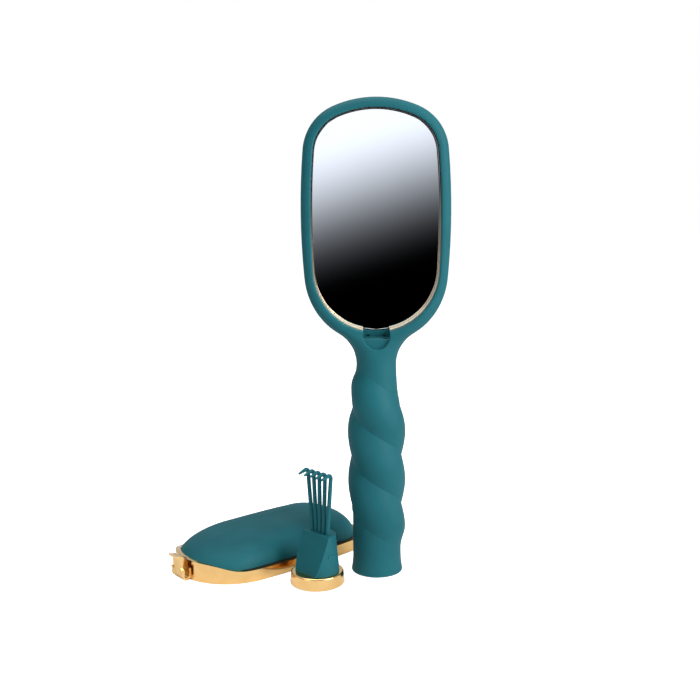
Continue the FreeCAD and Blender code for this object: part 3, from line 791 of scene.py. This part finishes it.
@dataclass(frozen=True)
class CoverBezel(DressedNode):
    """The cover's wall and ledge, with a rim that stands a little over the channel round the dome."""

    rim: float = 0.6 * MM
    channel: float = 0.12 * MM
    ledge_above: float = 4.0 * MM
    level: float = 0.996

    def on_ledge(self, normal: Vector, centre: Vector) -> bool:
        """Tells whether a face, known by its normal and centre, lies level on the ledge."""
        return normal.z > self.level and centre.z > self.ledge_above

    def detail(self, form: bmesh.types.BMesh) -> None:
        """Sinks the channel inside its rim.

        Args:
            form: The bezel's form.
        """
        ledge = [f for f in form.faces if self.on_ledge(f.normal, f.calc_center_median())]
        bmesh.ops.inset_region(form, faces=ledge, thickness=self.rim, depth=-self.channel,
                               use_boundary=True, use_even_offset=True)

    def accent(self, piece: bpy.types.Object, finishes: Finishes) -> None:
        """Gives the channel a painted shade: a darker brown gold, standing in for the shade the channel
        lies in.

        Args:
            piece: The finished bezel.
            finishes: The finishes.
        """
        # Painted shade: the level ledge faces inside the rim take the dark brown gold.
        piece.data.materials.append(finishes.shaded_gold)
        for face in piece.data.polygons:
            face.material_index = int(self.on_ledge(face.normal, face.center))


@dataclass(frozen=True)
class RakeTine(DressedNode):
    """One tine of the tool, thickened past its solid to the photographed width."""

    thicken: float = 0.27 * MM

    def detail(self, form: bmesh.types.BMesh) -> None:
        """Moves the tine's surface outwards.

        Args:
            form: The tine's form.
        """
        form.normal_update()
        for vert in form.verts:
            vert.co += vert.normal * self.thicken


@dataclass(frozen=True)
class BristlePad:
    """The back of the head: a crowned rubber pad, an eyelet for each tuft, and the bristles."""

    pad_node: str = "bristle_cushion"
    row_prefix: str = "bristle_row_"
    voxel: float = 0.9 * MM
    crown_depth: float = 4.0 * MM
    passes: int = 3
    dimple: float = 0.35 * MM
    dimple_reach: float = 3.0 * MM
    look_from: float = 0.1
    eyelet_sides: int = 12
    eyelet_radius: float = 1.75 * MM
    eyelet_taper: float = 0.8
    eyelet_rise: float = 0.5 * MM
    eyelet_lift: float = 0.2
    eyelet_lip: float = 0.18
    eyelet_sink: float = 0.5
    hairs: int = 26
    hair_sides: int = 4
    hair_radius: float = 0.15 * MM
    hair_taper: float = 0.45
    root_sink: float = 0.2 * MM
    root_radius: float = 1.15 * MM
    turn_play: float = 0.2
    tip_radius: float = 1.95 * MM
    tip_draw: float = 0.85
    tip_y: float = 30.0 * MM
    stagger: float = 2.6 * MM
    seed: int = 11

    def rows(self) -> list[str]:
        """Lists the CAD rows of tufts in order."""
        return sorted(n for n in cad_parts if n.startswith(self.row_prefix))

    def tufts(self, node: str) -> list[tuple[float, float]]:
        """Finds where a row's tufts stand.

        Args:
            node: The CAD row's name.

        Returns:
            The x and z of each tuft, from left to right.
        """
        form = merged_form(node)
        left = set(form.verts)
        places = []
        while left:
            island = [left.pop()]
            for vert in island:
                near = {edge.other_vert(vert) for edge in vert.link_edges} & left
                left -= near
                island.extend(near)
            xs = [v.co.x for v in island]
            zs = [v.co.z for v in island]
            places.append(((min(xs) + max(xs)) / 2, (min(zs) + max(zs)) / 2))
        form.free()
        return sorted(places)

    def build(self, finishes: Finishes) -> None:
        """Makes the pad, its eyelets and every row of bristles.

        Args:
            finishes: The finishes.
        """
        rows = {node: self.tufts(node) for node in self.rows()}
        places = [place for row in rows.values() for place in row]
        surface = self.build_pad(places, finishes)
        self.build_eyelets(places, surface, finishes)
        chance = random.Random(self.seed)
        for node, row in rows.items():
            self.build_row(node, row, surface, chance, finishes)

    def build_pad(self, places: list[tuple[float, float]], finishes: Finishes) -> BVHTree:
        """Makes the crowned pad, drawn in a little round each tuft.

        Args:
            places: The x and z of every tuft.
            finishes: The finishes.

        Returns:
            The pad's surface, for finding its height.
        """
        form = merged_form(self.pad_node)
        mesh = bpy.data.meshes.new("pad_blank")
        form.to_mesh(mesh)
        form.free()
        blank = bpy.data.objects.new("pad_blank", mesh)
        bpy.context.scene.collection.objects.link(blank)
        remesh = blank.modifiers.new("even_faces", "REMESH")
        remesh.mode = "VOXEL"
        remesh.voxel_size = self.voxel
        graph = bpy.context.evaluated_depsgraph_get()
        even = bpy.data.meshes.new_from_object(blank.evaluated_get(graph))
        form = bmesh.new()
        form.from_mesh(even)
        bpy.data.objects.remove(blank)
        bpy.data.meshes.remove(mesh)
        bpy.data.meshes.remove(even)
        crown_y = max(v.co.y for v in form.verts)
        crown = [v for v in form.verts if v.co.y > crown_y - self.crown_depth]
        for _ in range(self.passes):
            bmesh.ops.smooth_vert(form, verts=crown, factor=0.5, use_axis_y=True)
        for vert in crown:
            gap = min(math.hypot(vert.co.x - x, vert.co.z - z) for x, z in places)
            if gap < self.dimple_reach:
                vert.co.y -= self.dimple * math.cos(gap / self.dimple_reach * math.pi / 2) ** 2
        for face in form.faces:
            face.smooth = True
        surface = BVHTree.FromBMesh(form)
        pad = make_piece("bristle_pad", form, finishes.rubber, Body.BRUSH)
        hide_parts(self.pad_node)
        return surface

    def height(self, surface: BVHTree, x: float, z: float) -> float:
        """Finds the pad's surface.

        Args:
            surface: The pad's surface.
            x: Across the head.
            z: Up the head.

        Returns:
            The surface's y at that place.
        """
        place, *_ = surface.ray_cast(Vector((x, self.look_from, z)), Vector((0, -1, 0)))
        return place.y

    def build_eyelets(self, places: list[tuple[float, float]], surface: BVHTree,
                      finishes: Finishes) -> None:
        """Makes the low collar that each tuft stands in.

        Args:
            places: The x and z of every tuft.
            surface: The pad's surface.
            finishes: The finishes.
        """
        form = bmesh.new()
        turn = Matrix.Rotation(-math.pi / 2, 4, "X")
        for x, z in places:
            y = self.height(surface, x, z) + self.eyelet_rise * self.eyelet_lift
            stand = Matrix.Translation((x, y, z)) @ turn
            collar = bmesh.ops.create_cone(form, cap_ends=True, segments=self.eyelet_sides,
                                           radius1=self.eyelet_radius,
                                           radius2=self.eyelet_radius * self.eyelet_taper,
                                           depth=self.eyelet_rise, matrix=stand)
            caps = {f for v in collar["verts"] for f in v.link_faces if len(f.verts) > 4}
            top = max(caps, key=lambda f: f.calc_center_median().y)
            bmesh.ops.inset_individual(form, faces=[top],
                                       thickness=self.eyelet_radius * self.eyelet_lip,
                                       depth=-self.eyelet_rise * self.eyelet_sink)
        for face in form.faces:
            face.smooth = len(face.verts) <= 4
        make_piece("tuft_eyelets", form, finishes.rubber, Body.BRUSH)

    def build_row(self, node: str, row: list[tuple[float, float]], surface: BVHTree,
                  chance: random.Random, finishes: Finishes) -> None:
        """Makes one row of tufts out of single tapered bristles.

        Args:
            node: The CAD row's name.
            row: The x and z of its tufts.
            surface: The pad's surface.
            chance: The seeded source of small differences.
            finishes: The finishes.
        """
        form = bmesh.new()
        for x, z in row:
            root_y = self.height(surface, x, z) - self.root_sink
            for index in range(self.hairs):
                share = math.sqrt((index + 0.5) / self.hairs)
                turn = index * GOLDEN_ANGLE + chance.uniform(-self.turn_play, self.turn_play)
                way = Vector((math.cos(turn), 0, math.sin(turn)))
                root = Vector((x, root_y, z)) + way * self.root_radius * share
                reach = self.tip_radius * share * chance.uniform(self.tip_draw, 1.0)
                tip = Vector((x, 0, z)) + way * reach
                tip.y = self.tip_y - self.stagger * chance.random() ** 2
                span = tip - root
                lean = span.to_track_quat("Z", "Y").to_matrix().to_4x4()
                stand = Matrix.Translation((root + tip) / 2) @ lean
                bmesh.ops.create_cone(form, cap_ends=True, segments=self.hair_sides,
                                      radius1=self.hair_radius,
                                      radius2=self.hair_radius * self.hair_taper,
                                      depth=span.length, matrix=stand)
        for face in form.faces:
            face.smooth = True
        name = node.replace("row", "hairs")
        bristles = make_piece(name, form, finishes.bristle, Body.BRUSH)
        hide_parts(node)


@dataclass(frozen=True)
class Softbox:
    """One square light, which the camera does not see."""

    name: str
    place: Point
    aim: Point
    size: float
    power: float
    mirrored: bool = True

    def build(self) -> None:
        """Makes the light."""
        light = bpy.data.lights.new(self.name, "AREA")
        light.shape = "SQUARE"
        light.size = self.size
        light.energy = self.power
        lamp = bpy.data.objects.new(self.name, light)
        lamp.location = self.place
        way = Vector(self.aim) - Vector(self.place)
        lamp.rotation_euler = way.to_track_quat("-Z", "Y").to_euler()
        lamp.visible_camera = False
        lamp.visible_glossy = self.mirrored
        bpy.context.scene.collection.objects.link(lamp)


SOFTBOXES: tuple[Softbox, ...] = (
    Softbox("key_box", place=(0.6, -0.42, 0.42), aim=(0.0, 0.0, 0.14), size=0.5, power=9.4),
    Softbox("top_box", place=(-0.1, 0.0, 0.85), aim=(-0.03, 0.0, 0.05), size=0.7, power=6.0),
    Softbox("left_box", place=(-0.5, -0.55, 0.06), aim=(-0.02, 0.0, 0.03), size=0.3, power=1.0),
    Softbox("front_box", place=(-0.05, -0.8, 0.25), aim=(-0.03, 0.0, 0.12), size=0.5, power=1.2,
            mirrored=False),
)


@dataclass(frozen=True)
class Studio:
    """The white sweep, the lights, the graded card that the mirror faces, and the camera."""

    camera_place: Point = (-0.0132, -0.5, 0.2)
    camera_pitch: float = 9.6
    camera_roll: float = -0.45
    lens: float = 51.94
    sensor: float = 36.0
    surround_tint: Colour = (0.93, 0.97, 1.0)
    surround_lit: float = 0.17
    surround_mirrored: float = 0.75
    floor_tone: Colour = (0.8, 0.8, 0.8)
    floor_half: float = 3.0
    floor_drop: float = 0.3 * MM
    floor_glow: float = 0.12
    floor_shown: float = 0.88
    card_place: Point = (0.013, -0.62, 0.16)
    card_half: float = 0.16
    card_tilt: float = -17.6
    card_white: float = 0.098
    card_black: float = -0.084
    card_curve: float = 2.2
    card_tint: Colour = (1.05, 1.1, 1.22)

    def build(self) -> None:
        """Makes the whole studio."""
        self.set_colour()
        self.add_world()
        self.add_floor()
        self.add_card()
        for box in SOFTBOXES:
            box.build()
        self.add_camera()

    @staticmethod
    def set_colour() -> None:
        """Shows linear light without a film curve, so that whites stay white."""
        view = bpy.context.scene.view_settings
        view.view_transform = "Standard"
        view.look = "None"

    def add_world(self) -> None:
        """Makes a white surround to look at, a greyer one for reflections and a dim one for light."""
        world = bpy.data.worlds.new("white_surround")
        world.use_nodes = True
        tree = world.node_tree
        shown = tree.nodes["Background"]
        shown.inputs["Color"].default_value = (1, 1, 1, 1)
        shown.inputs["Strength"].default_value = 1.0
        lit = tree.nodes.new("ShaderNodeBackground")
        lit.inputs["Color"].default_value = rgba(self.surround_tint)
        path = tree.nodes.new("ShaderNodeLightPath")
        strength = spread_over(tree, path.outputs["Is Glossy Ray"], self.surround_lit,
                               self.surround_mirrored)
        tree.links.new(strength, lit.inputs["Strength"])
        mix = tree.nodes.new("ShaderNodeMixShader")
        tree.links.new(path.outputs["Is Camera Ray"], mix.inputs["Fac"])
        tree.links.new(lit.outputs["Background"], mix.inputs[1])
        tree.links.new(shown.outputs["Background"], mix.inputs[2])
        tree.links.new(mix.outputs["Shader"], tree.nodes["World Output"].inputs["Surface"])
        bpy.context.scene.world = world

    def add_floor(self) -> None:
        """Makes the pale floor, bright enough to read as white with the faintest contact shade."""
        form = bmesh.new()
        bmesh.ops.create_grid(form, x_segments=1, y_segments=1, size=self.floor_half)
        bmesh.ops.translate(form, verts=form.verts, vec=(0, 0, -self.floor_drop))
        material = bpy.data.materials.new("pale_floor")
        material.use_nodes = True
        tree = material.node_tree
        shader = tree.nodes["Principled BSDF"]
        shader.inputs["Base Color"].default_value = rgba(self.floor_tone)
        shader.inputs["Roughness"].default_value = 0.9
        shader.inputs["Specular IOR Level"].default_value = 0.1
        glow = tree.nodes.new("ShaderNodeEmission")
        path = tree.nodes.new("ShaderNodeLightPath")
        strength = spread_over(tree, path.outputs["Is Camera Ray"], self.floor_glow, self.floor_shown)
        add = tree.nodes.new("ShaderNodeAddShader")
        tree.links.new(strength, glow.inputs["Strength"])
        tree.links.new(shader.outputs["BSDF"], add.inputs[0])
        tree.links.new(glow.outputs["Emission"], add.inputs[1])
        tree.links.new(add.outputs["Shader"], tree.nodes["Material Output"].inputs["Surface"])
        self.add_stage("pale_floor", form, material)

    @staticmethod
    def add_stage(name: str, form: bmesh.types.BMesh, material: bpy.types.Material) -> bpy.types.Object:
        """Makes a thing that belongs to the studio.

        Args:
            name: Its name.
            form: Its mesh, which is freed here.
            material: Its material.

        Returns:
            The object.
        """
        mesh = bpy.data.meshes.new(name)
        form.to_mesh(mesh)
        form.free()
        mesh.materials.append(material)
        thing = bpy.data.objects.new(name, mesh)
        bpy.context.scene.collection.objects.link(thing)
        return thing

    def add_card(self) -> None:
        """Makes the card that the mirror shows, white at its top and black at its foot."""
        form = bmesh.new()
        bmesh.ops.create_grid(form, x_segments=1, y_segments=1, size=self.card_half)
        upright = Matrix.Rotation(-math.pi / 2, 3, "X")
        bmesh.ops.rotate(form, verts=form.verts, cent=(0, 0, 0), matrix=upright)
        bmesh.ops.translate(form, verts=form.verts, vec=self.card_place)
        material = bpy.data.materials.new("graded_card")
        material.use_nodes = True
        tree = material.node_tree
        tree.nodes.remove(tree.nodes["Principled BSDF"])
        place = tree.nodes.new("ShaderNodeTexCoord")
        turn = tree.nodes.new("ShaderNodeMapping")
        turn.vector_type = "TEXTURE"
        turn.inputs["Location"].default_value = self.card_place
        turn.inputs["Rotation"].default_value = (0, math.radians(self.card_tilt), 0)
        split = tree.nodes.new("ShaderNodeSeparateXYZ")
        fade = tree.nodes.new("ShaderNodeMapRange")
        fade.interpolation_type = "SMOOTHSTEP"
        fade.inputs["From Min"].default_value = self.card_black
        fade.inputs["From Max"].default_value = self.card_white
        curve = tree.nodes.new("ShaderNodeMath")
        curve.operation = "POWER"
        curve.inputs[1].default_value = self.card_curve
        glow = tree.nodes.new("ShaderNodeEmission")
        glow.inputs["Color"].default_value = rgba(self.card_tint)
        tree.links.new(place.outputs["Object"], turn.inputs["Vector"])
        tree.links.new(turn.outputs["Vector"], split.inputs["Vector"])
        tree.links.new(split.outputs["Z"], fade.inputs["Value"])
        tree.links.new(fade.outputs["Result"], curve.inputs[0])
        tree.links.new(curve.outputs["Value"], glow.inputs["Strength"])
        tree.links.new(glow.outputs["Emission"], tree.nodes["Material Output"].inputs["Surface"])
        card = self.add_stage("graded_card", form, material)
        card.visible_camera = False
        card.visible_diffuse = False
        card.visible_shadow = False
        card.visible_transmission = False

    def add_camera(self) -> None:
        """Makes the camera at the photograph's viewing angle."""
        data = bpy.data.cameras.new("camera")
        data.lens = self.lens
        data.sensor_width = self.sensor
        data.dof.use_dof = False
        camera = bpy.data.objects.new("camera", data)
        camera.location = self.camera_place
        tilt = Matrix.Rotation(math.radians(90 - self.camera_pitch), 3, "X")
        roll = Matrix.Rotation(math.radians(self.camera_roll), 3, "Z")
        camera.rotation_euler = (tilt @ roll).to_euler()
        bpy.context.scene.collection.objects.link(camera)
        bpy.context.scene.camera = camera


RIGID_PIECES: tuple[DressedNode, ...] = (
    BrushShell("brush_body", "brush_shell", Body.BRUSH, Slot.TEAL, ease=0.3 * MM),
    DressedNode("recess_liner", "mirror_trim", Body.BRUSH, Slot.GOLD, polished=True),
    DressedNode("mirror_glass", "mirror_plate", Body.BRUSH, Slot.MIRROR, ease=0.08 * MM),
    CoverBezel("cover_tray", "cover_bezel", Body.COVER, Slot.GOLD, ease=0.2 * MM, weld=0.0),
    CoverShell("cover_dome", "cover_shell", Body.COVER, Slot.TEAL),
    DressedNode("latch_arm", "cover_latch", Body.LATCH, Slot.GOLD, ease=0.18 * MM),
    DressedNode("tool_cap", "tool_foot", Body.TOOL, Slot.GOLD),
    DressedNode("tool_plug", "tool_stem", Body.TOOL, Slot.TEAL, ease=0.3 * MM),
    *(RakeTine(f"rake_tine_{n}", f"tool_tine_{n}", Body.TOOL, Slot.TEAL) for n in range(1, 6)),
)


def dress_hidden(finishes: Finishes) -> None:
    """Gives the tape behind the mirror its finish.

    Args:
        finishes: The finishes.
    """
    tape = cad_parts["mirror_pad"]
    tape.data.materials.clear()
    tape.data.materials.append(finishes.tape)


def main() -> None:
    """Builds every piece in order."""
    logging.basicConfig(level=logging.INFO, format="%(name)s: %(message)s")
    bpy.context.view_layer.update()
    finishes = Finishes()
    Studio().build()
    for rigid in RIGID_PIECES:
        rigid.build(finishes)
    BristlePad().build(finishes)
    dress_hidden(finishes)


if __name__ == "__main__":
    main()
